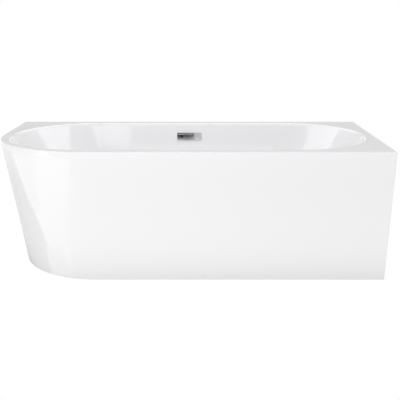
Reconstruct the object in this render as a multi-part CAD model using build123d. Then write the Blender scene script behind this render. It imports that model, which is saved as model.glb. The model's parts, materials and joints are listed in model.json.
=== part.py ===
from build123d import *
import os
from math import atan2, cos, degrees, radians, sin

# Corner bathtub in millimetres. +X is the tub's right end, which stands against a wall, +Y its back,
# which stands against the other wall, and +Z is up. The origin lies on the floor, below the middle of
# the tub's bounding box.

# Overall size
LENGTH = 1700.0
WIDTH = 800.0
HEIGHT = 570.0
LEFT = -LENGTH / 2
RIGHT = LENGTH / 2
FRONT = -WIDTH / 2
BACK = WIDTH / 2

# Acrylic shell: flat rim, vertical lip all round, one big round corner at the front left
ACRYLIC = 5.0
LIP_HEIGHT = 27.0
LIP_BOTTOM = HEIGHT - LIP_HEIGHT
BIG_CORNER_TOP_R = 420.0
BIG_CORNER_FLOOR_R = 380.0
SMALL_CORNER_R = 6.0
LIP_EDGE_R = 4.0
LEAN_LEFT = 83.0
LEAN_FRONT = 49.0
RETURN_WIDTH = 45.0
TONGUE_HEIGHT = 32.0
TONGUE_THICKNESS = 4.0
TONGUE_TOP_GAP = 1.0
GLUE_GAP = 0.4

# Basin: an oval with straight sides, drawn in towards its floor
BASIN_HALF_LENGTH = 805.0
BASIN_HALF_WIDTH = 340.0
BASIN_FLOOR_HALF_LENGTH = 571.0
BASIN_FLOOR_HALF_WIDTH = 270.0
BASIN_FLOOR_Z = 155.0
BASIN_FLOOR_R = 90.0
BASIN_EDGE_R = 12.0

# Timber: plate under the basin floor and battens under the rim
BOARD_THICKNESS = 15.0
BOARD_HALF_LENGTH = 465.0
BOARD_HALF_WIDTH = 165.0
BOARD_WASTE_HOLE_R = 50.0
BOARD_SCREW_Y = 90.0
BOARD_SCREW_LENGTH = 40.0
BOARD_SCREW_SKIN = 4.0
BATTEN_HEIGHT = 20.0
BATTEN_WIDTH = 28.0
BATTEN_END_GAP = 2.0
BATTEN_SIDE_GAP = 7.0
FRONT_BATTEN_LEFT = -440.0
BACK_BATTEN_LEFT = -640.0
BATTEN_RIGHT = 620.0
END_BATTEN_HALF_LENGTH = 330.0
BATTEN_SCREW_SKIN = 8.0

# Steel frame: two rails along the tub with four crossbars between them
TUBE = 30.0
TUBE_WALL = 2.0
TUBE_R = 3.0
FRAME_TOP = BASIN_FLOOR_Z - ACRYLIC - BOARD_THICKNESS
FRAME_BOTTOM = FRAME_TOP - TUBE
RAIL_Y = 270.0
RAIL_LEFT_END = -540.0
RAIL_RIGHT_END = 740.0
CROSSBAR_X = (-400.0, -135.0, 135.0, 400.0)
CAP_FLANGE = 3.0
CAP_PLUG = 18.0
CAP_PLAY = 1.0

# Flat steel struts that carry the rim on the two wall sides, and brackets that stiffen the skirt
STRUT_THICKNESS = 4.0
STRUT_WIDTH = 30.0
STRUT_FLANGE = 22.0
BACK_STRUT_X = (-360.0, 480.0)
BACK_STRUT_Y = 374.0
RIGHT_STRUT_X = 832.0
STRUT_OVERLAP = 50.0
BRACKET_THICKNESS = 3.0
BRACKET_WIDTH = 40.0
BRACKET_X = (-250.0, 260.0, 700.0)
BRACKET_TOP = 150.0
STRUT_BOLT_LENGTH = 16.0
STRUT_SCREW_LENGTH = 14.0
BRACKET_BOLT_LENGTH = 12.0

# Levelling feet: threaded rod in a plastic pad, held in the rail by two nuts
FOOT_X = (-480.0, 90.0, 640.0)
ROD_R = 6.0
ROD_TOP = FRAME_TOP + 22.0
ROD_HOLE_R = 6.5
ROD_CHAMFER = 1.0
ROD_SLOT_WIDTH = 1.6
ROD_SLOT_DEPTH = 3.0
RUNNING_GAP = 0.05
PAD_R = 25.0
PAD_HEIGHT = 14.0
PAD_SOLE = 5.0
PAD_EDGE = 1.0
PAD_RIM = 4.0
PAD_SHOULDER_R = 11.25
PAD_SHOULDER_Z = 9.0
PAD_NECK_R = 10.0
NUT_FLATS = 19.0
NUT_HEIGHT = 10.0
NUT_CROWN_R = 11.8
NUT_GAP = 0.1

# Screws
SCREW_R = 2.5
SCREW_HEAD_R = 5.0
SCREW_HEAD = 3.0
BOLT_R = 3.0
BOLT_HEAD_R = 5.5
BOLT_HEAD = 4.0
RECESS_R_SHARE = 0.45
RECESS_DEPTH_SHARE = 0.6
HOLE_GAP = 0.05

# Waste in the middle of the basin floor
DRAIN_HOLE_R = 24.0
GASKET = 1.5
FLANGE_R = 36.0
FLANGE_THICKNESS = 3.0
FLANGE_EDGE_R = 2.0
TAIL_R = 22.5
TAIL_BORE_R = 19.5
TAIL_BOTTOM = 118.0
SEAT_R = 25.0
WASTE_FLANGE_R = 40.0
WASTE_FLANGE = 6.0
WASTE_R = 27.0
WASTE_BOTTOM = 72.0
WASTE_BASE = 6.0
NOZZLE_R = 20.0
NOZZLE_BORE_R = 16.0
NOZZLE_BOTTOM = 60.0
GASKET_INSET = 1.0

# Click plug
PLUG_R = 31.0
PLUG_RIM = 3.0
PLUG_DOME = 3.5
PLUG_LIFT_GAP = 0.3
SEAL_R = 21.0
SEAL_THICKNESS = 2.2
STEM_R = 4.0
STEM_COLLAR_R = 9.0
STEM_COLLAR = 4.0
STEM_BOTTOM = 108.0
GUIDE_TOP = 138.0
GUIDE_RIM_TOP = 132.0
GUIDE_ARM_TOP = 130.0
GUIDE_BOTTOM = 120.0
GUIDE_HUB_R = 10.0
GUIDE_RIM = 2.0
GUIDE_ARM = 4.0
SPRING_R = 6.5
SPRING_WIRE_R = 0.6
SPRING_GAP = 0.1
SPRING_TURNS = 4

# Overflow in the middle of the back basin wall
OVERFLOW_DROP = 65.0
COVER_WIDTH = 124.0
COVER_HEIGHT = 39.0
COVER_DEPTH = 9.0
COVER_WALL = 2.5
COVER_EDGE_R = 1.2
COVER_CORNER_R = 2.0
SLOT_WIDTH = 80.0
SLOT_HEIGHT = 6.0
SLOT_FROM_TOP = 5.0
SLOT_FROM_LEFT = 5.0
SLOT_CORNER_R = 1.0
PORT_WIDTH = 94.0
PORT_HEIGHT = 22.0
PORT_CUT = 30.0
PLATE_WIDTH = 114.0
PLATE_HEIGHT = 30.0
PLATE_THICKNESS = 2.0
OVERFLOW_GASKET = 3.0
ELBOW_WIDTH = 116.0
ELBOW_HEIGHT = 40.0
ELBOW_DEPTH = 40.0
ELBOW_WALL = 3.0
ELBOW_CORNER_R = 5.0
FITTING_CORNER_R = 3.0
PORT_CORNER_R = 4.0
MOUTH_WIDTH = 66.0
MOUTH_HEIGHT = 20.0
OVERFLOW_SCREW_X = 40.0
OVERFLOW_SCREW_REACH = 26.0
OVERFLOW_SCREW_HEAD_R = 4.0
OVERFLOW_SCREW_HEAD = 2.0

# Overflow pipe, trap and outlet
PIPE_R = 12.5
PIPE_WALL = 2.0
PIPE_Y = 362.0
PIPE_Z = 90.0
PIPE_BEND_R = 60.0
SOCKET_WALL = 3.0
SOCKET_GAP = 0.1
SPIGOT_END_Y = 62.0
PIPE_START_Y = 40.0
SOCKET_BOTTOM_Z = 452.0
PIPE_TOP_Z = 474.0
TRAP_R = 20.0
TRAP_WALL = 2.5
TRAP_LOW_Z = 26.0
TRAP_RISE_X = -70.0
OUTLET_Z = 78.0
TRAP_END_X = -130.0
OUTLET_X = -180.0
OUTLET_END_Y = 385.0
OUTLET_SPIGOT = 60.0
OUTLET_BEAD = 3.0
TRAP_BEND_R = (28.0, 30.0, 21.0)
OUTLET_BEND_R = 30.0
NUT_RING_R = 26.0
NUT_RING_LENGTH = 17.0
NUT_RING_LIFT = 3.0
NUT_RING_GROOVES = 12
NUT_RING_GROOVE_R = 2.0


def lean(z, at_top, at_floor):
    """Value at height z of something that changes evenly from the floor to the lip's lower edge."""
    return at_floor + (at_top - at_floor) * z / LIP_BOTTOM


def left_x(z):
    return lean(z, LEFT, LEFT + LEAN_LEFT)


def front_y(z):
    return lean(z, FRONT, FRONT + LEAN_FRONT)


def plan(z, width_z, inset=0.0):
    """Plan outline of the tub at height z, as wide as the walls are at width_z, moved inwards by inset."""
    x0 = left_x(width_z) + inset
    x1 = RIGHT - inset
    y0 = front_y(width_z) + inset
    y1 = BACK - inset
    big = lean(width_z, BIG_CORNER_TOP_R, BIG_CORNER_FLOOR_R) - inset
    small = SMALL_CORNER_R - inset
    if small <= 0:
        small = 1.0
    path = [
        CenterArc((x0 + big, y0 + big, z), big, 180, 90),
        Line((x0 + big, y0, z), (x1 - small, y0, z)),
        CenterArc((x1 - small, y0 + small, z), small, 270, 90),
        Line((x1, y0 + small, z), (x1, y1 - small, z)),
        CenterArc((x1 - small, y1 - small, z), small, 0, 90),
        Line((x1 - small, y1, z), (x0 + small, y1, z)),
        CenterArc((x0 + small, y1 - small, z), small, 90, 90),
        Line((x0, y1 - small, z), (x0, y0 + big, z)),
    ]
    return make_face(Wire(path))


def stadium(z, half_length, half_width):
    """Oval with straight sides and half-round ends, flat at height z."""
    return Pos(0, 0, z) * SlotOverall(2 * half_length, 2 * half_width)


def basin_body(grow, floor_z, floor_r):
    """The basin's inside as a solid, moved outwards by grow."""
    slope = (BASIN_HALF_LENGTH - BASIN_FLOOR_HALF_LENGTH) / (HEIGHT - BASIN_FLOOR_Z)
    side_slope = (BASIN_HALF_WIDTH - BASIN_FLOOR_HALF_WIDTH) / (HEIGHT - BASIN_FLOOR_Z)
    drop = BASIN_FLOOR_Z - floor_z
    low = stadium(
        floor_z,
        BASIN_FLOOR_HALF_LENGTH - drop * slope + grow,
        BASIN_FLOOR_HALF_WIDTH - drop * side_slope + grow,
    )
    high = stadium(HEIGHT, BASIN_HALF_LENGTH + grow, BASIN_HALF_WIDTH + grow)
    body = loft([low, high], ruled=True)
    return fillet(body.edges().group_by(Axis.Z)[0], floor_r)


def basin_wall_y(z):
    """Y of the basin's back wall, inside, at height z."""
    share = (z - BASIN_FLOOR_Z) / (HEIGHT - BASIN_FLOOR_Z)
    return BASIN_FLOOR_HALF_WIDTH + (BASIN_HALF_WIDTH - BASIN_FLOOR_HALF_WIDTH) * share


def tube_along(points, radii, outer_r, wall):
    """Round pipe along straight runs that tangent arcs join."""
    path = FilletPolyline(*points, radius=radii)
    across = Plane(origin=path @ 0, z_dir=path % 0)
    return sweep(across * Circle(outer_r), path) - sweep(across * Circle(outer_r - wall), path)


def disc(radius, z0, z1, x=0.0, y=0.0):
    return Pos(x, y, z0) * extrude(Circle(radius), z1 - z0)


def ring(outer_r, inner_r, z0, z1):
    return disc(outer_r, z0, z1) - disc(inner_r, z0, z1)


def block(x0, x1, y0, y1, z0, z1):
    return Pos((x0 + x1) / 2, (y0 + y1) / 2, (z0 + z1) / 2) * Box(x1 - x0, y1 - y0, z1 - z0)


def overflow_plane():
    """Plane on the basin's back wall at the overflow: X to the right, Y up the wall, Z into the basin."""
    z = HEIGHT - OVERFLOW_DROP
    tilt = atan2(BASIN_HALF_WIDTH - BASIN_FLOOR_HALF_WIDTH, HEIGHT - BASIN_FLOOR_Z)
    return Plane(origin=(0, basin_wall_y(z), z), x_dir=(1, 0, 0), z_dir=(0, -cos(tilt), sin(tilt)))


def plate(width, height, thickness, corner_r, z0=0.0):
    """Rectangular plate with round corners on the overflow plane, from z0 towards the basin."""
    return extrude(overflow_plane().offset(z0) * RectangleRounded(width, height, corner_r), thickness)


def upright_screw(x, y, z, length, shank_r, head_r, head):
    """Screw driven upwards: the underside of its head is at z."""
    body = disc(head_r, z - head, z, x, y) + disc(shank_r, z, z + length, x, y)
    return body - disc(head_r * RECESS_R_SHARE, z - head, z - head + head * RECESS_DEPTH_SHARE, x, y)


def bath_shell():
    rim = extrude(plan(LIP_BOTTOM, LIP_BOTTOM), LIP_HEIGHT)
    rim = fillet(rim.faces().sort_by(Axis.Z)[-1].edges(), LIP_EDGE_R)
    rim -= extrude(plan(LIP_BOTTOM, LIP_BOTTOM, ACRYLIC), LIP_HEIGHT - ACRYLIC)
    shell = rim + basin_body(ACRYLIC, BASIN_FLOOR_Z - ACRYLIC, BASIN_FLOOR_R + ACRYLIC)
    shell -= basin_body(0, BASIN_FLOOR_Z, BASIN_FLOOR_R)
    top = shell.faces().sort_by(Axis.Z)[-1]
    shell = fillet(top.inner_wires()[0].edges(), BASIN_EDGE_R)
    shell -= disc(DRAIN_HOLE_R, 0, HEIGHT / 2)
    shell -= plate(PORT_WIDTH, PORT_HEIGHT, 2 * PORT_CUT, PORT_CORNER_R, -PORT_CUT)
    return shell


def outer_skirt():
    wall = loft([plan(0, 0), plan(LIP_BOTTOM, LIP_BOTTOM)], ruled=True)
    wall -= loft([plan(0, 0, ACRYLIC), plan(LIP_BOTTOM, LIP_BOTTOM, ACRYLIC)], ruled=True)
    inset = ACRYLIC + GLUE_GAP
    tongue_z = HEIGHT - ACRYLIC - TONGUE_TOP_GAP - TONGUE_HEIGHT
    tongue = extrude(plan(tongue_z, LIP_BOTTOM, inset), TONGUE_HEIGHT)
    tongue -= extrude(plan(tongue_z, LIP_BOTTOM, inset + TONGUE_THICKNESS), TONGUE_HEIGHT)
    wall += tongue
    back_opening = Polygon(
        (left_x(0) + RETURN_WIDTH, 0),
        (RIGHT, 0),
        (RIGHT, HEIGHT),
        (left_x(HEIGHT) + RETURN_WIDTH, HEIGHT),
        align=None,
    )
    wall -= extrude(Plane.XZ.offset(-BACK) * back_opening, 3 * ACRYLIC)
    right_opening = Polygon(
        (front_y(0) + RETURN_WIDTH, 0),
        (BACK, 0),
        (BACK, HEIGHT),
        (front_y(HEIGHT) + RETURN_WIDTH, HEIGHT),
        align=None,
    )
    wall -= extrude(Plane.YZ.offset(RIGHT) * right_opening, -3 * ACRYLIC)
    return wall


def base_board():
    board = extrude(stadium(FRAME_TOP, BOARD_HALF_LENGTH, BOARD_HALF_WIDTH), BOARD_THICKNESS)
    board -= disc(BOARD_WASTE_HOLE_R, 0, HEIGHT)
    for x, y in board_screw_places():
        board -= disc(SCREW_R + HOLE_GAP, FRAME_TOP, FRAME_TOP + BOARD_THICKNESS - BOARD_SCREW_SKIN, x, y)
    return board


def board_screw_places():
    return [(x, y) for x in CROSSBAR_X for y in (-BOARD_SCREW_Y, BOARD_SCREW_Y)]


def rim_battens():
    top = HEIGHT - ACRYLIC
    low = top - BATTEN_HEIGHT
    side = BASIN_HALF_WIDTH + ACRYLIC + BATTEN_SIDE_GAP
    end = BASIN_HALF_LENGTH + ACRYLIC + BATTEN_END_GAP
    front = block(FRONT_BATTEN_LEFT, BATTEN_RIGHT, -side - BATTEN_WIDTH, -side, low, top)
    back = block(BACK_BATTEN_LEFT, BATTEN_RIGHT, side, side + BATTEN_WIDTH, low, top)
    right = block(end, end + BATTEN_WIDTH, -END_BATTEN_HALF_LENGTH, END_BATTEN_HALF_LENGTH, low, top)
    hole_top = top - BATTEN_SCREW_SKIN
    for x in BACK_STRUT_X:
        back -= disc(SCREW_R + HOLE_GAP, low, hole_top, x, BACK_STRUT_Y - STRUT_FLANGE / 2)
    for y in (-RAIL_Y, RAIL_Y):
        right -= disc(SCREW_R + HOLE_GAP, low, hole_top, RIGHT_STRUT_X - STRUT_FLANGE / 2, y)
    return {"rim_batten_front": front, "rim_batten_back": back, "rim_batten_right": right}


def square_tube(length):
    """Steel tube along X, centred on the origin."""
    outer = Plane.YZ * RectangleRounded(TUBE, TUBE, TUBE_R)
    inner = Plane.YZ * RectangleRounded(TUBE - 2 * TUBE_WALL, TUBE - 2 * TUBE_WALL, TUBE_R - TUBE_WALL)
    return extrude(outer - inner, length / 2, both=True)


def frame_parts():
    z = (FRAME_TOP + FRAME_BOTTOM) / 2
    middle = (RAIL_LEFT_END + RAIL_RIGHT_END) / 2
    parts = {}
    for name, y in (("frame_rail_front", -RAIL_Y), ("frame_rail_back", RAIL_Y)):
        rail = Pos(middle, y, z) * square_tube(RAIL_RIGHT_END - RAIL_LEFT_END)
        for x in FOOT_X:
            rail -= disc(ROD_HOLE_R, 0, HEIGHT, x, y)
        for x, screw_y in strut_bolt_places():
            if screw_y == y:
                rail -= disc(BOLT_R + HOLE_GAP, 0, z, x, y)
        parts[name] = rail
    for x in BRACKET_X:
        hole = Pos(x, -RAIL_Y - TUBE / 2, z) * Rot(90, 0, 0) * Cylinder(BOLT_R + HOLE_GAP, 10)
        parts["frame_rail_front"] -= hole
    for number, x in enumerate(CROSSBAR_X, 1):
        bar = Pos(x, 0, z) * Rot(0, 0, 90) * square_tube(2 * RAIL_Y - TUBE)
        for screw_x, screw_y in board_screw_places():
            if screw_x == x:
                bar -= disc(SCREW_R + HOLE_GAP, 0, HEIGHT, x, screw_y)
        parts[f"frame_crossbar_{number}"] = bar
    return parts


def rail_caps():
    """Plastic plugs that close the four open tube ends."""
    z = (FRAME_TOP + FRAME_BOTTOM) / 2
    hollow = TUBE - 2 * TUBE_WALL - CAP_PLAY
    cover = TUBE - CAP_PLAY
    caps = []
    for y in (-RAIL_Y, RAIL_Y):
        for end, outward in ((RAIL_LEFT_END, -1), (RAIL_RIGHT_END, 1)):
            flange = Pos(end + outward * CAP_FLANGE / 2, y, z) * Box(CAP_FLANGE, cover, cover)
            plug = Pos(end - outward * CAP_PLUG / 2, y, z) * Box(CAP_PLUG, hollow, hollow)
            caps.append(flange + plug)
    return Compound(children=caps)


def board_screws():
    return Compound(children=[
        upright_screw(x, y, FRAME_BOTTOM, BOARD_SCREW_LENGTH, SCREW_R, SCREW_HEAD_R, SCREW_HEAD)
        for x, y in board_screw_places()
    ])


def strut_section(out, rail_side, flange_in):
    """Side view of a strut: foot under the rail, upright, and a short flange under the rim batten."""
    low = FRAME_BOTTOM - STRUT_THICKNESS
    top = HEIGHT - ACRYLIC - BATTEN_HEIGHT
    t = STRUT_THICKNESS
    return Polygon(
        (rail_side, low), (out, low), (out, top), (out - flange_in, top), (out - flange_in, top - t),
        (out - t, top - t), (out - t, FRAME_BOTTOM), (rail_side, FRAME_BOTTOM), align=None,
    )


def struts():
    parts = {}
    low = FRAME_BOTTOM - STRUT_THICKNESS
    top = HEIGHT - ACRYLIC - BATTEN_HEIGHT
    back_section = strut_section(BACK_STRUT_Y, RAIL_Y - TUBE / 2, STRUT_FLANGE)
    for name, x in zip(("strut_back_left", "strut_back_right"), BACK_STRUT_X):
        strut = Pos(x, 0, 0) * extrude(Plane.YZ * back_section, STRUT_WIDTH / 2, both=True)
        strut -= disc(BOLT_R + HOLE_GAP, low, FRAME_BOTTOM, x, RAIL_Y)
        strut -= disc(SCREW_R + HOLE_GAP, top - STRUT_FLANGE, top, x, BACK_STRUT_Y - STRUT_FLANGE / 2)
        parts[name] = strut
    right_section = strut_section(RIGHT_STRUT_X, RAIL_RIGHT_END - STRUT_OVERLAP, STRUT_FLANGE)
    for name, y in (("strut_right_front", -RAIL_Y), ("strut_right_back", RAIL_Y)):
        strut = Pos(0, y, 0) * extrude(Plane.XZ * right_section, STRUT_WIDTH / 2, both=True)
        strut -= disc(BOLT_R + HOLE_GAP, low, FRAME_BOTTOM, RAIL_RIGHT_END - STRUT_OVERLAP / 2, y)
        strut -= disc(SCREW_R + HOLE_GAP, top - STRUT_FLANGE, top, RIGHT_STRUT_X - STRUT_FLANGE / 2, y)
        parts[name] = strut
    return parts


def strut_bolt_places():
    back = [(x, RAIL_Y) for x in BACK_STRUT_X]
    return back + [(RAIL_RIGHT_END - STRUT_OVERLAP / 2, y) for y in (-RAIL_Y, RAIL_Y)]


def strut_screws():
    """Four bolts up into the rails and four wood screws up into the battens."""
    low = FRAME_BOTTOM - STRUT_THICKNESS
    top = HEIGHT - ACRYLIC - BATTEN_HEIGHT - STRUT_THICKNESS
    places = [(x, BACK_STRUT_Y - STRUT_FLANGE / 2) for x in BACK_STRUT_X]
    places += [(RIGHT_STRUT_X - STRUT_FLANGE / 2, y) for y in (-RAIL_Y, RAIL_Y)]
    bolts = [
        upright_screw(x, y, low, STRUT_BOLT_LENGTH, BOLT_R, BOLT_HEAD_R, BOLT_HEAD)
        for x, y in strut_bolt_places()
    ]
    screws = [
        upright_screw(x, y, top, STRUT_SCREW_LENGTH, SCREW_R, SCREW_HEAD_R, SCREW_HEAD)
        for x, y in places
    ]
    return Compound(children=bolts + screws)


def skirt_brackets():
    t = BRACKET_THICKNESS
    rail_face = -RAIL_Y - TUBE / 2
    inner = ACRYLIC + HOLE_GAP
    section = Polygon(
        (rail_face, FRAME_TOP),
        (rail_face, FRAME_BOTTOM),
        (front_y(FRAME_BOTTOM) + inner, FRAME_BOTTOM),
        (front_y(BRACKET_TOP) + inner, BRACKET_TOP),
        (front_y(BRACKET_TOP) + inner + t, BRACKET_TOP),
        (front_y(FRAME_BOTTOM + t) + inner + t, FRAME_BOTTOM + t),
        (rail_face - t, FRAME_BOTTOM + t),
        (rail_face - t, FRAME_TOP),
        align=None,
    )
    z = (FRAME_TOP + FRAME_BOTTOM) / 2
    parts = {}
    for number, x in enumerate(BRACKET_X, 1):
        bracket = Pos(x, 0, 0) * extrude(Plane.YZ * section, BRACKET_WIDTH / 2, both=True)
        bracket -= Pos(x, rail_face, z) * Rot(90, 0, 0) * Cylinder(BOLT_R + HOLE_GAP, 4 * t)
        parts[f"skirt_bracket_{number}"] = bracket
    return parts


def bracket_bolts():
    z = (FRAME_TOP + FRAME_BOTTOM) / 2
    face = -RAIL_Y - TUBE / 2 - BRACKET_THICKNESS
    bolt = upright_screw(0, 0, 0, BRACKET_BOLT_LENGTH, BOLT_R, BOLT_HEAD_R, BOLT_HEAD)
    return Compound(children=[Pos(x, face, z) * Rot(-90, 0, 0) * bolt for x in BRACKET_X])


def foot_pad(x, y):
    """Plastic pad: a broad sole and a neck round the rod's lower end."""
    profile = Polyline(
        (0, 0), (PAD_R - PAD_EDGE, 0), (PAD_R, PAD_EDGE), (PAD_R, PAD_RIM),
        (PAD_SHOULDER_R, PAD_SHOULDER_Z), (PAD_NECK_R, PAD_HEIGHT), (0, PAD_HEIGHT), close=True,
    )
    pad = revolve(Plane.XZ * make_face(profile), Axis.Z)
    return Pos(x, y, 0) * (pad - disc(ROD_R + RUNNING_GAP, PAD_SOLE, PAD_HEIGHT))


def foot_rod(x, y):
    """Threaded rod with its thread taken as a plain cylinder, and a screwdriver slot in its top."""
    rod = chamfer(disc(ROD_R, PAD_SOLE, ROD_TOP, x, y).edges().group_by(Axis.Z)[-1], ROD_CHAMFER)
    return rod - Pos(x, y, ROD_TOP) * Box(3 * ROD_R, ROD_SLOT_WIDTH, 2 * ROD_SLOT_DEPTH)


def foot_nuts(x, y):
    """Adjusting nut below the rail and lock nut above it."""
    nut = extrude(RegularPolygon(NUT_FLATS / 2, 6, major_radius=False), NUT_HEIGHT)
    nut -= disc(ROD_R + RUNNING_GAP, 0, NUT_HEIGHT)
    nut = nut & Pos(0, 0, NUT_HEIGHT / 2) * Sphere(NUT_CROWN_R)
    lower = Pos(x, y, FRAME_BOTTOM - NUT_GAP - NUT_HEIGHT) * nut
    upper = Pos(x, y, FRAME_TOP + NUT_GAP) * nut
    return Compound(children=[lower, upper])


def feet():
    parts = {}
    places = [(x, y) for y in (-RAIL_Y, RAIL_Y) for x in FOOT_X]
    for number, (x, y) in enumerate(places, 1):
        parts[f"foot_pad_{number}"] = foot_pad(x, y)
        parts[f"foot_rod_{number}"] = foot_rod(x, y)
        parts[f"foot_nuts_{number}"] = foot_nuts(x, y)
    return parts


def waste_parts():
    flange_z = BASIN_FLOOR_Z + GASKET
    under = BASIN_FLOOR_Z - ACRYLIC
    flange = ring(FLANGE_R, TAIL_BORE_R, flange_z, flange_z + FLANGE_THICKNESS)
    flange = fillet(flange.edges().group_by(Axis.Z)[-1].sort_by(SortBy.LENGTH)[-1:], FLANGE_EDGE_R)
    seat = Pos(0, 0, flange_z + FLANGE_THICKNESS / 2) * Cone(TAIL_BORE_R, SEAT_R, FLANGE_THICKNESS)
    flange += ring(TAIL_R, TAIL_BORE_R, TAIL_BOTTOM, flange_z)
    flange -= seat
    body = disc(WASTE_FLANGE_R, under - GASKET - WASTE_FLANGE, under - GASKET)
    body += disc(WASTE_R, WASTE_BOTTOM, under - GASKET)
    body += disc(NOZZLE_R, NOZZLE_BOTTOM, WASTE_BOTTOM)
    spigot_r = PIPE_R + SOCKET_GAP + SOCKET_WALL
    spigot = Plane(origin=(0, 0, PIPE_Z), z_dir=(0, 1, 0))
    body += extrude(spigot * Circle(spigot_r), SPIGOT_END_Y)
    body -= disc(TAIL_R + SOCKET_GAP, WASTE_BOTTOM + WASTE_BASE, HEIGHT)
    body -= disc(NOZZLE_BORE_R, 0, HEIGHT)
    body -= extrude(spigot * Circle(PIPE_R - PIPE_WALL), SPIGOT_END_Y)
    body -= extrude(spigot.offset(PIPE_START_Y - RUNNING_GAP) * Circle(PIPE_R + SOCKET_GAP), SPIGOT_END_Y)
    return {
        "waste_flange": flange,
        "waste_flange_gasket": ring(FLANGE_R - GASKET_INSET, DRAIN_HOLE_R, BASIN_FLOOR_Z, flange_z),
        "waste_body_gasket": ring(WASTE_FLANGE_R - GASKET_INSET, DRAIN_HOLE_R, under - GASKET, under),
        "waste_body": body,
    }


def plug_guide():
    """Spider inside the flange's tail that carries the plug's stem."""
    outer_r = TAIL_BORE_R - RUNNING_GAP
    rim = ring(outer_r, outer_r - GUIDE_RIM, GUIDE_BOTTOM, GUIDE_RIM_TOP)
    hub = disc(GUIDE_HUB_R, GUIDE_BOTTOM, GUIDE_TOP)
    length = 2 * outer_r - GUIDE_RIM
    arm_height = GUIDE_ARM_TOP - GUIDE_BOTTOM
    arm = Pos(0, 0, GUIDE_BOTTOM + arm_height / 2) * Box(length, GUIDE_ARM, arm_height)
    cross = Rot(0, 0, 45) * arm + Rot(0, 0, -45) * arm
    return rim + hub + cross - disc(STEM_R + RUNNING_GAP, 0, HEIGHT)


def plug_parts():
    """Cap, rubber seal and stem of the click plug, closed."""
    seat_z = BASIN_FLOOR_Z + GASKET + FLANGE_THICKNESS
    cap_z = seat_z + PLUG_LIFT_GAP
    dome_r = (PLUG_R ** 2 + PLUG_DOME ** 2) / (2 * PLUG_DOME)
    crown = Vector(0, PLUG_RIM + PLUG_DOME)
    shoulder = Vector(PLUG_R, PLUG_RIM)
    half = degrees(atan2(PLUG_R, dome_r - PLUG_DOME)) / 2
    between = crown + Vector(dome_r * sin(radians(half)), dome_r * (cos(radians(half)) - 1))
    outline = [
        Line((0, 0), (PLUG_R, 0)), Line((PLUG_R, 0), shoulder),
        ThreePointArc(shoulder, between, crown), Line(crown, (0, 0)),
    ]
    cap = Pos(0, 0, cap_z) * revolve(Plane.XZ * make_face(Wire(outline)), Axis.Z)
    seal = ring(SEAL_R, STEM_COLLAR_R + RUNNING_GAP, cap_z - SEAL_THICKNESS, cap_z)
    stem = disc(STEM_COLLAR_R, cap_z - STEM_COLLAR, cap_z) + disc(STEM_R, STEM_BOTTOM, cap_z)
    return {"plug_cap": cap, "plug_seal": seal, "plug_stem": stem}


def plug_spring():
    """Coil round the stem between the guide's hub and the stem's collar."""
    low = GUIDE_TOP + SPRING_WIRE_R + SPRING_GAP
    collar_z = BASIN_FLOOR_Z + GASKET + FLANGE_THICKNESS + PLUG_LIFT_GAP - STEM_COLLAR
    high = collar_z - SPRING_WIRE_R - SPRING_GAP
    path = Helix(pitch=(high - low) / SPRING_TURNS, height=high - low, radius=SPRING_R)
    across = Plane(origin=path @ 0, z_dir=path % 0)
    return Pos(0, 0, low) * sweep(across * Circle(SPRING_WIRE_R), path, is_frenet=True)


def overflow_cover():
    """Chrome cover: a shallow rectangular box with an intake slot near its top edge."""
    cover = plate(COVER_WIDTH, COVER_HEIGHT, COVER_DEPTH, COVER_CORNER_R)
    front = cover.faces().sort_by(Axis((0, 0, 0), overflow_plane().z_dir))[-1]
    cover = fillet(front.edges(), COVER_EDGE_R)
    inner_w = COVER_WIDTH - 2 * COVER_WALL
    inner_h = COVER_HEIGHT - 2 * COVER_WALL
    cover -= plate(inner_w, inner_h, COVER_DEPTH - COVER_WALL, SLOT_CORNER_R)
    slot_x = -COVER_WIDTH / 2 + SLOT_FROM_LEFT + SLOT_WIDTH / 2
    slot_y = COVER_HEIGHT / 2 - SLOT_FROM_TOP - SLOT_HEIGHT / 2
    slot = Pos(slot_x, slot_y) * RectangleRounded(SLOT_WIDTH, SLOT_HEIGHT, SLOT_CORNER_R)
    return cover - extrude(overflow_plane() * slot, 2 * COVER_DEPTH)


def overflow_screw_holes(radius, z0, length):
    pair = Pos(-OVERFLOW_SCREW_X, 0) * Circle(radius) + Pos(OVERFLOW_SCREW_X, 0) * Circle(radius)
    return extrude(overflow_plane().offset(z0) * pair, length)


def overflow_plate():
    """Fixing plate inside the cover, screwed to the elbow through the basin wall."""
    body = plate(PLATE_WIDTH, PLATE_HEIGHT, PLATE_THICKNESS, FITTING_CORNER_R)
    body -= plate(MOUTH_WIDTH, MOUTH_HEIGHT, PLATE_THICKNESS, FITTING_CORNER_R)
    return body - overflow_screw_holes(SCREW_R + HOLE_GAP, 0, PLATE_THICKNESS)


def overflow_gasket():
    low = -ACRYLIC - OVERFLOW_GASKET
    body = plate(ELBOW_WIDTH, ELBOW_HEIGHT - 4 * GASKET_INSET, OVERFLOW_GASKET, PORT_CORNER_R, low)
    return body - plate(PORT_WIDTH, PORT_HEIGHT, OVERFLOW_GASKET, PORT_CORNER_R, low)


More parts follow.
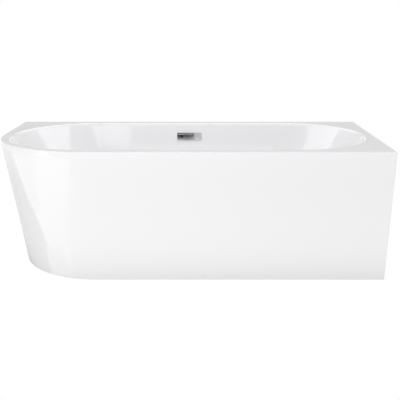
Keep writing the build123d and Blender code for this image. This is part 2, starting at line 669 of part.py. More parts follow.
def overflow_elbow():
    """Plastic box behind the wall that collects the water and turns it down into the pipe."""
    low = -ACRYLIC - OVERFLOW_GASKET - ELBOW_DEPTH
    body = plate(ELBOW_WIDTH, ELBOW_HEIGHT, ELBOW_DEPTH, ELBOW_CORNER_R, low)
    socket_r = PIPE_R + SOCKET_GAP + SOCKET_WALL
    body += disc(socket_r, SOCKET_BOTTOM_Z, HEIGHT - OVERFLOW_DROP, 0, PIPE_Y)
    hollow_depth = ELBOW_DEPTH - ELBOW_WALL
    hollow_height = ELBOW_HEIGHT - 2 * ELBOW_WALL
    body -= plate(MOUTH_WIDTH, hollow_height, hollow_depth, FITTING_CORNER_R, low + ELBOW_WALL)
    body -= disc(PIPE_R - PIPE_WALL, SOCKET_BOTTOM_Z, HEIGHT - OVERFLOW_DROP, 0, PIPE_Y)
    body -= disc(PIPE_R + SOCKET_GAP, SOCKET_BOTTOM_Z, PIPE_TOP_Z + SOCKET_GAP, 0, PIPE_Y)
    return body - overflow_screw_holes(SCREW_R + HOLE_GAP, -PORT_CUT, 2 * PORT_CUT)


def overflow_screws():
    heads = overflow_screw_holes(OVERFLOW_SCREW_HEAD_R, PLATE_THICKNESS, OVERFLOW_SCREW_HEAD)
    shanks = overflow_screw_holes(SCREW_R, -OVERFLOW_SCREW_REACH, OVERFLOW_SCREW_REACH + PLATE_THICKNESS)
    return Compound(children=list((heads + shanks).solids()))


def overflow_pipe():
    points = [(0, PIPE_START_Y, PIPE_Z), (0, PIPE_Y, PIPE_Z), (0, PIPE_Y, PIPE_TOP_Z)]
    return tube_along(points, PIPE_BEND_R, PIPE_R, PIPE_WALL)


def trap_parts():
    trap_points = [
        (0, 0, NOZZLE_BOTTOM), (0, 0, TRAP_LOW_Z), (TRAP_RISE_X, 0, TRAP_LOW_Z),
        (TRAP_RISE_X, 0, OUTLET_Z), (TRAP_END_X, 0, OUTLET_Z),
    ]
    outlet_points = [(TRAP_END_X, 0, OUTLET_Z), (OUTLET_X, 0, OUTLET_Z), (OUTLET_X, OUTLET_END_Y, OUTLET_Z)]
    nut = ring(NUT_RING_R, TRAP_R + SOCKET_GAP, -NUT_RING_LENGTH / 2, NUT_RING_LENGTH / 2)
    groove = Pos(NUT_RING_R + NUT_RING_GROOVE_R / 2, 0, 0) * Cylinder(NUT_RING_GROOVE_R, NUT_RING_LENGTH)
    for step in range(NUT_RING_GROOVES):
        nut -= Rot(0, 0, 360 * step / NUT_RING_GROOVES) * groove
    outlet = tube_along(outlet_points, OUTLET_BEND_R, TRAP_R, TRAP_WALL)
    bead_plane = Plane(origin=(OUTLET_X, OUTLET_END_Y - OUTLET_SPIGOT, OUTLET_Z), z_dir=(0, -1, 0))
    outlet += extrude(bead_plane * (Circle(TRAP_R + OUTLET_BEAD) - Circle(TRAP_R - TRAP_WALL)), OUTLET_BEAD)
    return {
        "trap_nut": Pos(0, 0, NOZZLE_BOTTOM + NUT_RING_LIFT) * nut,
        "trap_body": tube_along(trap_points, TRAP_BEND_R, TRAP_R, TRAP_WALL),
        "outlet_nut": Pos(TRAP_END_X, 0, OUTLET_Z) * Rot(0, 90, 0) * nut,
        "outlet_pipe": outlet,
    }


def all_parts():
    parts = {"bath_shell": bath_shell(), "outer_skirt": outer_skirt(), "base_board": base_board()}
    parts.update(rim_battens())
    parts.update(frame_parts())
    parts["rail_caps"] = rail_caps()
    parts["board_screws"] = board_screws()
    parts.update(struts())
    parts["strut_screws"] = strut_screws()
    parts.update(skirt_brackets())
    parts["bracket_bolts"] = bracket_bolts()
    parts.update(feet())
    parts.update(waste_parts())
    parts["plug_guide"] = plug_guide()
    parts.update(plug_parts())
    parts["plug_spring"] = plug_spring()
    parts["overflow_cover"] = overflow_cover()
    parts["overflow_plate"] = overflow_plate()
    parts["overflow_gasket"] = overflow_gasket()
    parts["overflow_elbow"] = overflow_elbow()
    parts["overflow_screws"] = overflow_screws()
    parts["overflow_pipe"] = overflow_pipe()
    parts.update(trap_parts())
    return parts


os.makedirs("parts", exist_ok=True)
for node, shape in all_parts().items():
    export_step(shape, f"parts/{node}.step")
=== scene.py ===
import json
from math import cos, pi, radians, sin, tau

import bmesh
import bpy
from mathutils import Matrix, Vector


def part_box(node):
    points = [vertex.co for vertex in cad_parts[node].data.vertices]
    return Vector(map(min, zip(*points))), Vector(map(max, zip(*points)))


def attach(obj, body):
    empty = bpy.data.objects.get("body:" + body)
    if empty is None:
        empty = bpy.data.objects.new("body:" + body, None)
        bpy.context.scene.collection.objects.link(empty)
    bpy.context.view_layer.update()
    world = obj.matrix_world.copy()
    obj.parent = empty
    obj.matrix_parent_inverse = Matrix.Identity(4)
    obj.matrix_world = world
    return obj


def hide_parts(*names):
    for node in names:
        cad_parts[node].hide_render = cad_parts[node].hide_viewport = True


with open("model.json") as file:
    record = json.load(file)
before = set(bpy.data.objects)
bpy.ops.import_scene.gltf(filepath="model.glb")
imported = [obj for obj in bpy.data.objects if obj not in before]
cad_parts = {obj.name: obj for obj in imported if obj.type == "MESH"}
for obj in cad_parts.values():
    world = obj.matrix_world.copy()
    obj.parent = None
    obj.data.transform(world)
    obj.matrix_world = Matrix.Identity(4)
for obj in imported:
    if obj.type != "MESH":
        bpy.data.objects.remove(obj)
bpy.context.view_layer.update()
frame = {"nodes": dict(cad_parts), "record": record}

# Metres and degrees. +X is the tub's right end, +Y its back and +Z up, as in the frame.
# Radiance is how bright a shining surface is: 1.0 shows as white.
nodes = frame["nodes"]
scene = bpy.context.scene
slot_colors = {row["slot"]: row["base_color"] for row in frame["record"]["materials"]}

# ---------------------------------------------------------------- camera
CAMERA_AT = (0.0546, -3.0011, 1.0936)
CAMERA_PITCH = 15.528
CAMERA_CLIP = 100
LENS = 59.34
SENSOR = 36.0

# ---------------------------------------------------------------- studio
# World: radiance at the sine of the angle above the horizon
HORIZON_RADIANCE = 1.0
ZENITH_RADIANCE = 0.44
RING_RADIANCE = 1.392
WORLD_STOPS = [(0.11, HORIZON_RADIANCE), (0.15, 0.0), (0.35, 0.113), (0.65, RING_RADIANCE)]

FLOOR_HALF = 40.0
FLOOR_Z = -0.0005
WALL_DISTANCE = 30.0
WALL_BOTTOM = -0.1
WALL_STEPS = 48

# Soft darkness round the skirt's foot
SHADE_Z = 0.001
SHADE_REACH = 0.12
SHADE_RADIANCE = 0.78
SKIRT_LEAN_X = 0.083
SKIRT_LEAN_Y = 0.049
CORNER_R = 0.38
CORNER_STEPS = 16

# Outlines of the bright floor, in x and y
SHINE_EDGE_NEAR = [(-0.52, -0.375), (-0.6, -0.415), (-0.68, -0.445), (-0.74, -0.435), (-0.8, -0.395), (-0.86, -0.345)]
SHINE_EDGE_LEFT = [(-1.0, -0.33), (-1.15, -0.3)]
SHINE_EDGE_FAR = [(-1.22, -0.28), (-1.3, -0.42), (-1.5, -0.46), (-1.72, -0.6), (-3.2, -1.4)]
SHINE_EDGE_RIGHT = [
    (-3.2, -2.2), (-1.0, -2.2), (-1.0, -1.6), (-0.93, -1.0), (-0.87, -0.78), (-0.8, -0.62), (-0.7, -0.54),
    (-0.63, -0.49), (-0.57, -0.43),
]
SHINE_NEAR_FOOT = [(-0.8, -0.3), (-0.6, -0.29), (-0.5, -0.35)]
SHINE_FAR_SIDE = [(-3.0, 1.1), (-2.1, 0.35), (-1.8, 0.1), (-1.6, -0.05), (-1.47, -0.12), (-1.28, -0.26)]

# Panels that only show mirrored: name, axis square to the panel, place on that axis, outline along the
# two other axes, radiance
PANELS = [
    (
        "softbox_right", "x", 2.4,
        [(0.95, 1.9), (0.95, 3.4), (-4.4, 3.4), (-2.81, 2.79), (-2.29, 2.61), (-1.73, 2.38), (-0.7, 1.9)],
        3.36,
    ),
    (
        "softbox_left", "x", -2.4,
        [(0.93, 1.9), (0.93, 3.4), (-4.4, 3.4), (-3.0, 2.74), (-2.46, 2.61), (-2.2, 2.42), (-2.2, 1.9)],
        3.36,
    ),
    (
        "front_window", "y", -3.5,
        [(-1.15, 0.9), (-0.7, 0.9), (-0.7, 1.245), (-0.3, 1.3), (-0.05, 1.4), (-0.05, 1.53), (-1.15, 1.58)],
        2.2,
    ),
    ("cover_side", "y", -3.5, [(-0.01, 1.0), (0.1, 1.0), (0.1, 1.25), (-0.01, 1.25)], 0.75),
    ("cover_low", "y", -3.5, [(-0.25, 1.0), (-0.01, 1.0), (-0.01, 1.1), (-0.25, 1.1)], 0.5),
    ("back_low", "y", 3.4, [(-5.0, 1.0), (5.0, 1.0), (5.0, 1.5), (-5.0, 1.5)], 0.3),
    ("floor_shine", "z", 0.002, SHINE_EDGE_NEAR + SHINE_EDGE_LEFT + SHINE_EDGE_FAR + SHINE_EDGE_RIGHT, 2.1),
    ("floor_shine_near", "z", 0.0018, SHINE_EDGE_NEAR + SHINE_NEAR_FOOT, 1.4),
    ("floor_shine_far", "z", 0.0018, SHINE_EDGE_FAR + SHINE_FAR_SIDE, 1.55),
]

# Floor that darkens towards the tub's left side: x, near y, far y, radiance at the near y
DIM_FLOOR_Z = 0.0015
DIM_FLOOR = [
    (-0.62, -0.29, -0.05, 0.36), (-1.0, -0.32, 0.45, 0.36), (-1.28, -0.25, 1.0, 0.36), (-1.6, -0.04, 1.5, 0.36),
    (-1.8, 0.11, 1.7, 0.5), (-2.1, 0.35, 2.0, 0.75), (-2.6, 0.75, 2.4, 1.0),
]
# Floor that brightens in front of the tub: y, radiance
BRIGHT_FLOOR_Z = 0.0012
BRIGHT_FLOOR_LEFT = -1.2
BRIGHT_FLOOR_RIGHT = 2.0
BRIGHT_FLOOR = [(-1.35, 1.0), (-1.1, 1.3), (-0.85, 1.6), (-0.62, 1.8), (-0.5, 1.45), (-0.42, 1.0)]

# Lamps: name, place, target, width and height, radiance
LAMPS = [
    ("front_left", (-1.8, -2.6, 1.4), (0, 0, 0.3), (1.6, 1.6), 1.89),
    ("front_top", (0, -2.2, 2.6), (0, 0, 0.4), (3.0, 1.5), 1.12),
    ("back_top", (0, 2.2, 2.4), (0, 0, 0.4), (3.0, 1.5), 2.95),
    ("right", (3.0, 0, 1.5), (0, 0, 0.4), (1.6, 1.6), 0.66),
]

# ---------------------------------------------------------------- materials
ACRYLIC = (0.858, 0.858, 0.868)
ACRYLIC_ROUGHNESS = 0.05
ACRYLIC_IOR = 1.49
RESIN_PALE = (0.72, 0.71, 0.6)
RESIN_DARK = (0.52, 0.54, 0.45)
RESIN_ROUGHNESS = 0.42
FIBRE = (0.84, 0.84, 0.76)
LIP_BOTTOM = 0.5425
OUTWARD_LEAST = 0.02
DOWNWARD_MOST = -0.5
PLIES_PER_METRE = 800.0

# Pine battens: material, and the grain's stretch, small along the batten
BATTENS = {
    "rim_batten_front": ("pine_front", (0.12, 1.0, 1.0)),
    "rim_batten_back": ("pine_back", (0.12, 1.1, 1.0)),
    "rim_batten_right": ("pine_right", (1.0, 0.12, 1.0)),
}

# ---------------------------------------------------------------- detailed pieces
FEET = 6
THREAD_PITCH = 0.00175
THREAD_DEPTH = 0.0009
THREAD_SIDES = 24
THREAD_CREST_LOW = 0.42
THREAD_CREST_HIGH = 0.58

CROSSBARS = 4
WELD_R = 0.0024
WELD_STEPS = 160
WELD_SIDES = 8
WELD_RIPPLE_STEPS = 5
WELD_RIPPLE = 0.16
WELD_WANDER = 0.08
WELD_WANDER_PACE = 0.37
WELD_SQUARENESS = 8

RESIN_WIDTH = 0.011
RESIN_STEPS = 120
RESIN_PROFILE = 5
RESIN_GAP = 0.0002
# Waves in the strip's width: share of the width, pace per step, start
RESIN_WAVES = [(0.12, 0.9, 0.0), (0.08, 2.3, 1.0)]


# ---------------------------------------------------------------- node helpers
class Paint:
    """A material and short ways to add and join its nodes."""

    def __init__(self, name, color, roughness, metallic=0.0, **sockets):
        self.material = bpy.data.materials.new(name)
        self.material.use_nodes = True
        self.tree = self.material.node_tree
        self.shader = self.tree.nodes["Principled BSDF"]
        self.shader.inputs["Base Color"].default_value = (*color, 1)
        self.shader.inputs["Roughness"].default_value = roughness
        self.shader.inputs["Metallic"].default_value = metallic
        for socket, value in sockets.items():
            self.shader.inputs[socket].default_value = value
        self.place = self.tree.nodes.new("ShaderNodeTexCoord").outputs["Object"]

    def node(self, kind, inputs=None, **settings):
        """Add a node; each input is a value or another node's output."""
        made = self.tree.nodes.new("ShaderNode" + kind)
        for key, value in settings.items():
            setattr(made, key, value)
        for key, value in (inputs or {}).items():
            if isinstance(value, bpy.types.NodeSocket):
                self.tree.links.new(value, made.inputs[key])
            else:
                made.inputs[key].default_value = value
        return made

    def link(self, output, socket):
        self.tree.links.new(output, self.shader.inputs[socket])

    def stretched(self, scale):
        return self.node("Mapping", {"Vector": self.place, "Scale": scale}).outputs[0]

    def noise(self, scale, detail=4.0, where=None, roughness=0.5):
        inputs = {"Vector": where or self.place, "Scale": scale, "Detail": detail, "Roughness": roughness}
        return self.node("TexNoise", inputs).outputs["Fac"]

    def part(self, vector, axis):
        return self.node("SeparateXYZ", {0: vector}).outputs[axis]

    def spread(self, value, low, high, from_low=0.0, from_high=1.0):
        inputs = {"Value": value, "From Min": from_low, "From Max": from_high, "To Min": low, "To Max": high}
        return self.node("MapRange", inputs).outputs["Result"]

    def math(self, operation, first, second=0.0):
        return self.node("Math", {0: first, 1: second}, operation=operation).outputs[0]

    def mix(self, share, first, second):
        """Blend two colours; each is a tuple or another node's output."""
        first, second = [(*c, 1) if isinstance(c, tuple) else c for c in (first, second)]
        return self.node("Mix", {0: share, 6: first, 7: second}, data_type="RGBA").outputs[2]

    def bump(self, height, strength, distance):
        inputs = {"Height": height, "Strength": strength, "Distance": distance}
        self.link(self.node("Bump", inputs).outputs[0], "Normal")


# ---------------------------------------------------------------- camera, lights and stage
def make_camera():
    data = bpy.data.cameras.new("camera")
    data.lens = LENS
    data.sensor_width = SENSOR
    data.clip_end = CAMERA_CLIP
    camera = bpy.data.objects.new("camera", data)
    camera.location = CAMERA_AT
    camera.rotation_euler = (radians(90 - CAMERA_PITCH), 0, 0)
    scene.collection.objects.link(camera)
    scene.camera = camera


def make_world():
    """Soft studio surroundings: white at the horizon, dark above it, and a bright ring halfway up."""
    world = bpy.data.worlds.new("studio")
    scene.world = world
    world.use_nodes = True
    tree = world.node_tree
    tree.nodes.clear()
    out = tree.nodes.new("ShaderNodeOutputWorld")
    back = tree.nodes.new("ShaderNodeBackground")
    back.inputs["Strength"].default_value = RING_RADIANCE
    ramp = tree.nodes.new("ShaderNodeValToRGB")
    stops = ramp.color_ramp.elements
    stops[0].position, stops[1].position = 0.0, 1.0
    for place, _ in WORLD_STOPS:
        stops.new(place)
    levels = [HORIZON_RADIANCE] + [level for _, level in WORLD_STOPS] + [ZENITH_RADIANCE]
    for stop, level in zip(sorted(stops, key=lambda s: s.position), levels):
        stop.color = (*[level / RING_RADIANCE] * 3, 1)
    where = tree.nodes.new("ShaderNodeTexCoord")
    split = tree.nodes.new("ShaderNodeSeparateXYZ")
    tree.links.new(where.outputs["Generated"], split.inputs[0])
    tree.links.new(split.outputs["Z"], ramp.inputs["Fac"])
    tree.links.new(ramp.outputs["Color"], back.inputs["Color"])
    tree.links.new(back.outputs[0], out.inputs[0])


def glow(name, radiance):
    """Material that only shines."""
    paint = Paint(name, (0, 0, 0), 1.0)
    paint.shader.inputs["Specular IOR Level"].default_value = 0.0
    paint.shader.inputs["Emission Color"].default_value = (1, 1, 1, 1)
    paint.shader.inputs["Emission Strength"].default_value = radiance
    paint.material.cycles.emission_sampling = "NONE"
    return paint


def set_up(name, mesh, paint, camera=False, diffuse=True, glossy=True, shadow=True):
    """Stand a mesh in the studio; the flags say which rays meet it."""
    mesh.materials.append(paint.material)
    made = bpy.data.objects.new(name, mesh)
    made.visible_camera = camera
    made.visible_diffuse = diffuse
    made.visible_glossy = glossy
    made.visible_transmission = glossy
    made.visible_shadow = shadow
    scene.collection.objects.link(made)


def flat_mesh(name, corners):
    mesh = bpy.data.meshes.new(name)
    mesh.from_pydata(corners, [], [tuple(range(len(corners)))])
    return mesh


def make_floor():
    half = FLOOR_HALF
    corners = [(x, y, FLOOR_Z) for x, y in ((-half, -half), (half, -half), (half, half), (-half, half))]
    set_up("floor", flat_mesh("floor", corners), glow("floor_white", 1.0), camera=True)


def make_far_wall():
    """White all round behind the object, seen by the camera only."""
    turns = [tau * i / WALL_STEPS for i in range(WALL_STEPS)]
    ring = [(WALL_DISTANCE * cos(turn), WALL_DISTANCE * sin(turn)) for turn in turns]
    points = [(x, y, z) for z in (WALL_BOTTOM, WALL_DISTANCE) for x, y in ring]
    pairs = [(i, (i + 1) % WALL_STEPS) for i in range(WALL_STEPS)]
    faces = [(i, j, WALL_STEPS + j, WALL_STEPS + i) for i, j in pairs]
    mesh = bpy.data.meshes.new("far_wall")
    mesh.from_pydata(points, [], faces)
    paint = glow("far_wall_white", 1.0)
    set_up("far_wall", mesh, paint, camera=True, diffuse=False, glossy=False, shadow=False)


def graded_card(name, edges, levels, height, diffuse):
    """Strip of light just above the floor; edges are pairs of (x, y), levels the radiance at each of them."""
    points = [(x, y, height) for edge in edges for x, y in edge]
    faces = [(2 * i, 2 * i + 1, 2 * i + 3, 2 * i + 2) for i in range(len(edges) - 1)]
    mesh = bpy.data.meshes.new(name)
    mesh.from_pydata(points, [], faces)
    strengths = [level for pair in levels for level in pair]
    uv = mesh.uv_layers.new(name="radiance")
    for loop in mesh.loops:
        uv.data[loop.index].uv = (strengths[loop.vertex_index], 0.5)
    paint = glow(name + "_light", 1.0)
    paint.link(paint.part(paint.node("TexCoord").outputs["UV"], "X"), "Emission Strength")
    set_up(name, mesh, paint, diffuse=diffuse, shadow=False)


def make_shade_ring():
    """Soft darkness on the floor close round the skirt, seen only in its reflections and bounce light."""
    (x0, y0, _), (x1, y1, _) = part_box("outer_skirt")
    foot_x = x0 + SKIRT_LEAN_X
    foot_y = y0 + SKIRT_LEAN_Y
    turns = [pi + (pi / 2) * step / CORNER_STEPS for step in range(CORNER_STEPS + 1)]

    def outline(grow):
        r = CORNER_R + grow
        corner = [(foot_x + CORNER_R + r * cos(turn), foot_y + CORNER_R + r * sin(turn)) for turn in turns]
        return [(foot_x - grow, y1)] + corner + [(x1 + grow, foot_y - grow), (x1 + grow, y1)]

    edges = list(zip(outline(0.0), outline(SHADE_REACH)))
    levels = [(SHADE_RADIANCE, 1.0)] * len(edges)
    graded_card("floor_shade", edges, levels, SHADE_Z, diffuse=True)


def make_panels():
    for name, axis, offset, outline, radiance in PANELS:
        corners = [list(pair) for pair in outline]
        for corner in corners:
            corner.insert("xyz".index(axis), offset)
        set_up(name, flat_mesh(name, corners), glow(name + "_light", radiance), diffuse=False, shadow=False)


def make_graded_floor():
    """Stretches of floor of changing brightness, seen only mirrored in the left side and the foot of the front."""
    edges = [((x, near), (x, far)) for x, near, far, _ in DIM_FLOOR]
    levels = [(level, 1.0) for *_, level in DIM_FLOOR]
    graded_card("floor_dim", edges, levels, DIM_FLOOR_Z, diffuse=False)
    edges = [((BRIGHT_FLOOR_LEFT, y), (BRIGHT_FLOOR_RIGHT, y)) for y, _ in BRIGHT_FLOOR]
    levels = [(level, level) for _, level in BRIGHT_FLOOR]
    graded_card("floor_bright", edges, levels, BRIGHT_FLOOR_Z, diffuse=False)


def make_lamps():
    """Rectangular lamps that light surfaces but aren't mirrored in them."""
    for name, place, target, (width, height), radiance in LAMPS:
        data = bpy.data.lights.new(name, "AREA")
        data.shape = "RECTANGLE"
        data.size = width
        data.size_y = height
        data.energy = radiance * pi * width * height
        lamp = bpy.data.objects.new(name, data)
        lamp.location = place
        lamp.rotation_euler = (Vector(target) - Vector(place)).to_track_quat("-Z", "Y").to_euler()
        lamp.visible_camera = False
        lamp.visible_glossy = False
        scene.collection.objects.link(lamp)


# ---------------------------------------------------------------- materials
def laminate(paint, side):
    """Share of bare laminate: faces turned outwards (side 1) or inwards (side -1) below the rim, and undersides."""
    normal = paint.node("NewGeometry").outputs["True Normal"]
    flat = paint.node("VectorMath", {0: paint.place, 1: (side, side, 0)}, operation="MULTIPLY").outputs[0]
    outward = paint.node("VectorMath", {0: flat, 1: normal}, operation="DOT_PRODUCT").outputs["Value"]
    below = paint.math("LESS_THAN", paint.part(paint.place, "Z"), LIP_BOTTOM)
    turned = paint.math("MULTIPLY", paint.math("GREATER_THAN", outward, OUTWARD_LEAST), below)
    underside = paint.math("LESS_THAN", paint.part(normal, "Z"), DOWNWARD_MOST)
    facing_down = paint.math("MULTIPLY", underside, float(side > 0))
    return paint.math("MAXIMUM", turned, facing_down)


def acrylic(name, side):
    """Polished white acrylic on the seen faces, sprayed glass-fibre laminate on the hidden ones."""
    paint = Paint(name, ACRYLIC, ACRYLIC_ROUGHNESS, IOR=ACRYLIC_IOR)
    share = laminate(paint, side)
    strands = paint.noise(160.0, 3.0, paint.stretched((1.0, 6.0, 2.5)))
    cross = paint.noise(140.0, 3.0, paint.stretched((5.0, 1.0, 1.5)))
    clumps = paint.noise(9.0, 3.0)
    fibres = paint.spread(paint.math("MAXIMUM", strands, cross), 0.0, 1.0, 0.45, 0.72)
    resin = paint.mix(fibres, paint.mix(clumps, RESIN_PALE, RESIN_DARK), FIBRE)
    paint.link(paint.mix(share, ACRYLIC, resin), "Base Color")
    paint.link(paint.spread(share, ACRYLIC_ROUGHNESS, RESIN_ROUGHNESS), "Roughness")
    ripple = paint.math("MULTIPLY", paint.noise(14.0, 2.0), 0.06)
    rough = paint.math("MULTIPLY", paint.math("ADD", fibres, clumps), 0.6)
    paint.bump(paint.math("ADD", ripple, paint.math("MULTIPLY", rough, share)), 1.0, 0.002)
    return paint.material


def plywood():
    """Birch plywood: long grain on the faces and thin plies on the edges."""
    paint = Paint("birch_plywood", slot_colors["plywood"], 0.62)
    grain = paint.noise(26.0, 6.0, paint.stretched((0.6, 7.0, 7.0)), 0.6)
    figure = paint.noise(5.0, 2.0, paint.stretched((0.5, 3.0, 3.0)))
    tone = paint.mix(grain, (0.78, 0.62, 0.42), (0.56, 0.4, 0.24))
    tone = paint.mix(paint.spread(figure, 0.0, 0.5, 0.4, 0.7), tone, (0.66, 0.48, 0.3))
    across = paint.math("MULTIPLY", paint.part(paint.place, "Z"), PLIES_PER_METRE)
    plies = paint.math("PINGPONG", across, 1.0)
    normal = paint.node("NewGeometry").outputs["True Normal"]
    edge = paint.math("LESS_THAN", paint.math("ABSOLUTE", paint.part(normal, "Z")), 0.5)
    band = paint.math("MULTIPLY", paint.math("GREATER_THAN", plies, 0.5), edge)
    paint.link(paint.mix(band, tone, (0.38, 0.25, 0.14)), "Base Color")
    paint.link(paint.spread(grain, 0.5, 0.75), "Roughness")
    paint.bump(paint.math("SUBTRACT", grain, band), 0.5, 0.0006)
    return paint.material


def pine(name, stretch):
    """Planed pine with rings drawn out along the batten."""
    paint = Paint(name, slot_colors["plywood"], 0.6)
    where = paint.stretched(stretch)
    bend = paint.noise(3.0, 2.0, where)
    rings = paint.node("TexWave", {"Vector": where, "Scale": 9.0, "Distortion": 5.0, "Detail": 3.0}).outputs["Fac"]
    fine = paint.noise(90.0, 4.0, where)
    tone = paint.mix(rings, (0.82, 0.66, 0.42), (0.66, 0.46, 0.24))
    tone = paint.mix(paint.spread(bend, 0.0, 0.35, 0.45, 0.7), tone, (0.5, 0.32, 0.17))
    paint.link(tone, "Base Color")
    paint.link(paint.spread(fine, 0.5, 0.75), "Roughness")
    paint.bump(paint.math("ADD", fine, rings), 0.35, 0.0004)
    return paint.material


def powder_coat():
    """Grey powder coat with orange peel and a little dust."""
    paint = Paint("powder_coat", slot_colors["frame_steel"], 0.42)
    dust = paint.noise(12.0, 4.0)
    paint.link(paint.mix(dust, (0.58, 0.6, 0.61), (0.48, 0.5, 0.51)), "Base Color")
    paint.link(paint.spread(dust, 0.36, 0.52), "Roughness")
    paint.bump(paint.noise(700.0, 2.0), 0.3, 0.0004)
    return paint.material


def zinc():
    """Bright zinc plating with the faint yellow and blue of its passivation."""
    paint = Paint("zinc_plate", slot_colors["zinc_steel"], 0.3, 1.0)
    spangle = paint.node("TexVoronoi", {"Vector": paint.place, "Scale": 900.0}).outputs["Distance"]
    paint.link(paint.mix(paint.noise(60.0, 3.0), (0.78, 0.75, 0.64), (0.66, 0.7, 0.78)), "Base Color")
    paint.link(paint.spread(spangle, 0.24, 0.42), "Roughness")
    paint.bump(spangle, 0.12, 0.0002)
    return paint.material


def moulded(name, slot, roughness, tones, grit):
    """Injection-moulded plastic: flow marks, a fine eroded texture and slight tone changes."""
    paint = Paint(name, slot_colors[slot], roughness)
    flow = paint.noise(18.0, 3.0, paint.stretched((1.0, 1.0, 0.4)))
    texture = paint.noise(grit, 2.0)
    paint.link(paint.mix(flow, *tones), "Base Color")
    paint.link(paint.spread(texture, roughness - 0.06, roughness + 0.08), "Roughness")
    paint.bump(texture, 0.25, 0.0003)
    return paint.material


def rubber():
    """Dull black rubber with a grey bloom."""
    paint = Paint("nitrile_rubber", slot_colors["rubber"], 0.75)
    bloom = paint.noise(45.0, 4.0)
    paint.link(paint.mix(bloom, (0.035, 0.035, 0.036), (0.085, 0.085, 0.08)), "Base Color")
    paint.link(paint.spread(bloom, 0.66, 0.88), "Roughness")
    paint.bump(paint.noise(1500.0, 2.0), 0.3, 0.0002)
    return paint.material


def chrome():
    """Polished chrome plating with very faint haze and water marks."""
    paint = Paint("chrome_plate", slot_colors["chrome"], 0.05, 1.0)
    haze = paint.noise(35.0, 4.0)
    paint.link(paint.spread(haze, 0.035, 0.09, 0.35, 0.7), "Roughness")
    paint.link(paint.mix(haze, (0.84, 0.85, 0.87), (0.78, 0.79, 0.81)), "Base Color")
    paint.bump(paint.noise(180.0, 2.0), 0.02, 0.0003)
    return paint.material


def turned(name, slot, tones, stretch):
    """Machined metal with fine lines; stretch is large across them."""
    paint = Paint(name, slot_colors[slot], 0.3, 1.0)
    lines = paint.noise(120.0, 3.0, paint.stretched(stretch))
    paint.link(paint.mix(paint.noise(30.0, 3.0), *tones), "Base Color")
    paint.link(paint.spread(lines, 0.2, 0.42), "Roughness")
    paint.bump(lines, 0.2, 0.0002)
    return paint.material


def paint_nodes():
    """Give every CAD node its material; returns the material of each slot."""
    black = ((0.03, 0.03, 0.033), (0.06, 0.06, 0.065))
    brass = ((0.8, 0.62, 0.3), (0.68, 0.5, 0.24))
    steel = ((0.7, 0.7, 0.7), (0.6, 0.6, 0.62))
    white = ((0.88, 0.88, 0.87), (0.82, 0.82, 0.8))
    grey = ((0.44, 0.45, 0.47), (0.38, 0.39, 0.41))
    looks = {
        "acrylic": acrylic("board_laminate", 1),
        "plywood": plywood(),
        "frame_steel": powder_coat(),
        "zinc_steel": zinc(),
        "black_plastic": moulded("black_polyamide", "black_plastic", 0.5, black, 900.0),
        "chrome": chrome(),
        "brass": turned("brass_bar", "brass", brass, (1.0, 1.0, 14.0)),
        "spring_steel": turned("stainless_steel", "spring_steel", steel, (1.0, 14.0, 14.0)),
        "rubber": rubber(),
        "white_plastic": moulded("white_polypropylene", "white_plastic", 0.34, white, 600.0),
        "grey_plastic": moulded("grey_polypropylene", "grey_plastic", 0.4, grey, 600.0),
    }
    for row in frame["record"]["subparts"]:
        nodes[row["node"]].data.materials[0] = looks[row["material_slot"]]
    nodes["bath_shell"].data.materials[0] = acrylic("shell_acrylic", 1)
    nodes["outer_skirt"].data.materials[0] = acrylic("skirt_acrylic", -1)
    for batten, (name, stretch) in BATTENS.items():
        nodes[batten].data.materials[0] = pine(name, stretch)
    return looks


# ---------------------------------------------------------------- detailed pieces
def add_piece(name, points, faces, material, body, slot):
    """Smooth piece with its faces turned outwards, which rides the body. The slot is not used."""
    mesh = bpy.data.meshes.new(name)
    mesh.from_pydata(points, [], faces)
    made = bmesh.new()
    made.from_mesh(mesh)
    bmesh.ops.recalc_face_normals(made, faces=made.faces)
    made.to_mesh(mesh)
    made.free()
    for face in mesh.polygons:
        face.use_smooth = True
    mesh.materials.append(material)
    piece = bpy.data.objects.new(name, mesh)
    scene.collection.objects.link(piece)
    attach(piece, body)
    return piece


def loop_sweep(rings):
    """Faces that join rings of equal length, each closed, the last ring joined to the first."""
    size, count = len(rings[0]), len(rings)
    points = [point for ring in rings for point in ring]
    faces = []
    for i in range(count):
        j = (i + 1) % count
        for k in range(size):
            m = (k + 1) % size
            faces.append((i * size + k, i * size + m, j * size + m, j * size + k))
    return points, faces


def threaded_rod(low, high, center_x, center_y, radius):
    """Points and faces of a right-handed screw thread, closed at both ends."""
    count = int((high - low) / THREAD_PITCH - 1) * THREAD_SIDES
    root = radius - THREAD_DEPTH
    start = low + 0.5 * (high - low - (count / THREAD_SIDES + 1) * THREAD_PITCH)

    def at(step, r, share):
        angle = tau * step / THREAD_SIDES
        z = start + THREAD_PITCH * (step / THREAD_SIDES + share)
        return (center_x + r * cos(angle), center_y + r * sin(angle), z)

    roots = [at(step, root, 0.0) for step in range(count + THREAD_SIDES + 1)]
    lower = [at(step, radius, THREAD_CREST_LOW) for step in range(count + 1)]
    upper = [at(step, radius, THREAD_CREST_HIGH) for step in range(count + 1)]
    points = roots + lower + upper + [(center_x, center_y, low), (center_x, center_y, high)]
    a, b = len(roots), len(roots) + len(lower)
    faces = []
    for s in range(count):
        faces.append((s, s + 1, a + s + 1, a + s))
        faces.append((a + s, a + s + 1, b + s + 1, b + s))
        faces.append((b + s, b + s + 1, s + 1 + THREAD_SIDES, s + THREAD_SIDES))
    bottom = list(range(THREAD_SIDES + 1)) + [b, a]
    top = [count, a + count, b + count] + list(range(count + THREAD_SIDES, count, -1))
    for loop, middle in ((bottom, len(points) - 2), (top, len(points) - 1)):
        for i, point in enumerate(loop):
            faces.append((point, loop[(i + 1) % len(loop)], middle))
    return points, faces


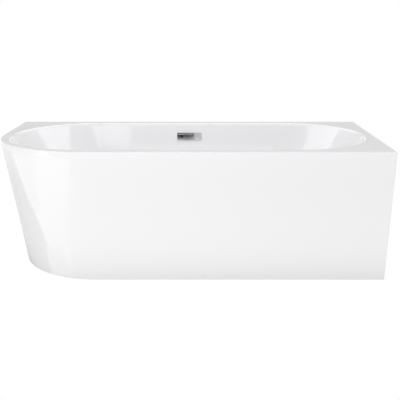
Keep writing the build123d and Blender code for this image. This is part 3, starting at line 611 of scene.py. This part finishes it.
def make_threads(material):
    """Rods with real threads in place of the feet's plain ones."""
    for foot in range(1, FEET + 1):
        low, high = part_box(f"foot_rod_{foot}")
        middle = (low + high) / 2
        shape = threaded_rod(low.z, high.z, middle.x, middle.y, (high.x - low.x) / 2)
        rod = add_piece(f"foot_thread_{foot}", *shape, material, f"foot_{foot}", "zinc_steel")
        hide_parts(f"foot_rod_{foot}")


def weld_rings(low, high, y, inward, seed):
    """Rings of one bead round a crossbar of the given box, at y; inward is the sign of the way along the bar."""
    middle = (low + high) / 2
    half = (high - low) / 2
    rings = []
    for i in range(WELD_STEPS):
        turn = tau * i / WELD_STEPS
        corner = abs(cos(turn)) ** WELD_SQUARENESS + abs(sin(turn)) ** WELD_SQUARENESS
        across = corner ** (-1 / WELD_SQUARENESS)
        offset = Vector((half.x * across * cos(turn), 0, half.z * across * sin(turn)))
        outward = offset.normalized()
        ripple = WELD_RIPPLE * abs(sin(i * pi / WELD_RIPPLE_STEPS))
        thickness = WELD_R * (1 + ripple + WELD_WANDER * sin(i * WELD_WANDER_PACE + seed))
        center = Vector((middle.x, y, middle.z)) + offset
        ring = []
        for k in range(WELD_SIDES):
            side = tau * k / WELD_SIDES
            place = center + outward * (thickness * cos(side))
            place.y += inward * thickness * sin(side)
            ring.append(tuple(place))
        rings.append(ring)
    return rings


def make_welds(material):
    """Rippled weld bead all round each joint of a crossbar and a rail."""
    points, faces = [], []
    for bar in range(1, CROSSBARS + 1):
        low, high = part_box(f"frame_crossbar_{bar}")
        for y, inward in ((low.y, 1), (high.y, -1)):
            bead_points, bead_faces = loop_sweep(weld_rings(low, high, y, inward, bar))
            faces += [tuple(len(points) + v for v in face) for face in bead_faces]
            points += bead_points
    add_piece("frame_welds", points, faces, material, "tub", "frame_steel")


def board_outline(straight, radius):
    """Points of a long oval with their outward directions: two half circles and the straights between them."""
    arcs = []
    for i in range(RESIN_STEPS):
        turn = tau * i / RESIN_STEPS
        shift = straight if cos(turn) >= 0 else -straight
        arcs.append((shift + radius * cos(turn), radius * sin(turn), cos(turn), sin(turn)))
    outline = []
    straight_steps = RESIN_STEPS // 4
    for point, following in zip(arcs, arcs[1:] + arcs[:1]):
        outline.append(point)
        x, y, out_x, _ = point
        if (out_x >= 0) != (following[2] >= 0):
            side = 1 if y > 0 else -1
            for k in range(1, straight_steps):
                outline.append((x + (following[0] - x) * k / straight_steps, side * radius, 0.0, float(side)))
    return outline


def make_resin(material):
    """Glass-fibre and resin strip that bonds the plywood board's edge to the underside of the basin."""
    low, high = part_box("base_board")
    radius = (high.y - low.y) / 2
    straight = (high.x - low.x) / 2 - radius
    rings = []
    for i, (x, y, out_x, out_y) in enumerate(board_outline(straight, radius)):
        width = RESIN_WIDTH * (1 + sum(share * sin(i * pace + start) for share, pace, start in RESIN_WAVES))
        ring = [(x, y, high.z)]
        for k in range(RESIN_PROFILE + 1):
            turn = pi / 2 * k / RESIN_PROFILE
            reach = width * (1 - sin(turn)) + RESIN_GAP
            drop = width * (1 - cos(turn)) + RESIN_GAP
            ring.append((x + out_x * reach, y + out_y * reach, high.z - drop))
        rings.append(ring)
    add_piece("board_resin", *loop_sweep(rings), material, "tub", "acrylic")


make_camera()
make_world()
make_floor()
make_far_wall()
make_shade_ring()
make_panels()
make_graded_floor()
make_lamps()
looks = paint_nodes()
make_threads(looks["zinc_steel"])
make_welds(looks["frame_steel"])
make_resin(looks["acrylic"])

scene.view_settings.view_transform = "Standard"
